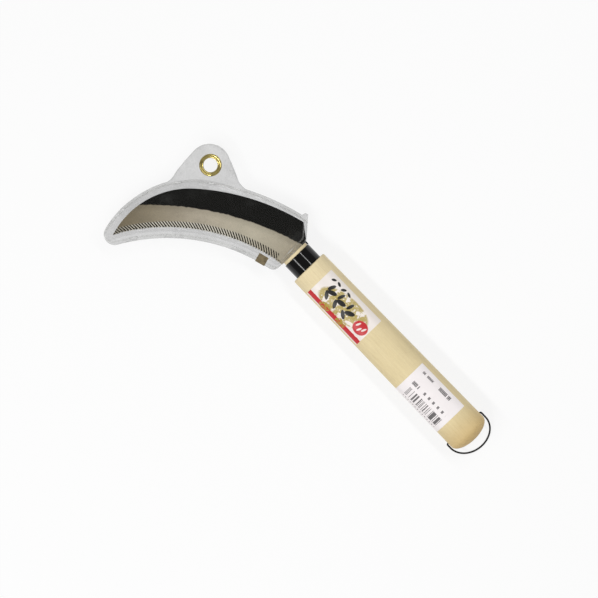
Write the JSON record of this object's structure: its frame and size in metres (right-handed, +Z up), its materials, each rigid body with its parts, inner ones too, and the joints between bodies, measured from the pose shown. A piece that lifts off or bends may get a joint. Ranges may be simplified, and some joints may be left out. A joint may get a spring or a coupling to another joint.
{
  "type": "rope cutting sickle",
  "caption": "Hooked rope sickle with a toothed edge, a wooden handle with a black ferrule and wire bail, and a clear slip-on blade cover with a brass eyelet.",
  "frame": {"origin": "below the middle of the whole outline, on the surface that the sickle lies on", "axes": "+X from the blade's nose to the handle's butt, +Y from the cutting side to the spine side, +Z up"},
  "size_m": [0.296, 0.1146, 0.0251],
  "materials": {
    "blade": "black scale with a ground bevel",
    "pin": "plain",
    "ferrule": "gloss black",
    "handle": "pale, bare",
    "long_label": "printed paper",
    "price_label": "printed paper",
    "bail": "black wire",
    "film": "clear soft vinyl",
    "eyelet": "aged",
    "clip": "dull"
  },
  "bodies": {
    "sickle": {"blade": "blade", "tang_pin": "pin", "ferrule": "ferrule", "handle": "handle", "long_label": "long_label", "price_label": "price_label"},
    "bail": {"hanging_bail": "bail"},
    "cover": {"cover_front": "film", "cover_back": "film", "eyelet": "eyelet", "eyelet_washer": "eyelet", "cover_clip": "clip"}
  },
  "joints": [
    {"name": "bail_swing", "type": "hinge", "parent": "sickle", "child": "bail", "pos_m": [0.12926, 0.03179, 0.0125], "axis": [0, -1, 0], "range_deg": [-106, 173]},
    {"name": "cover_pull", "type": "hinge", "parent": "sickle", "child": "cover", "pos_m": [-0.0166, -0.11628, 0.0125], "axis": [0, 0, 1], "range_deg": [0, 56]}
  ]
}
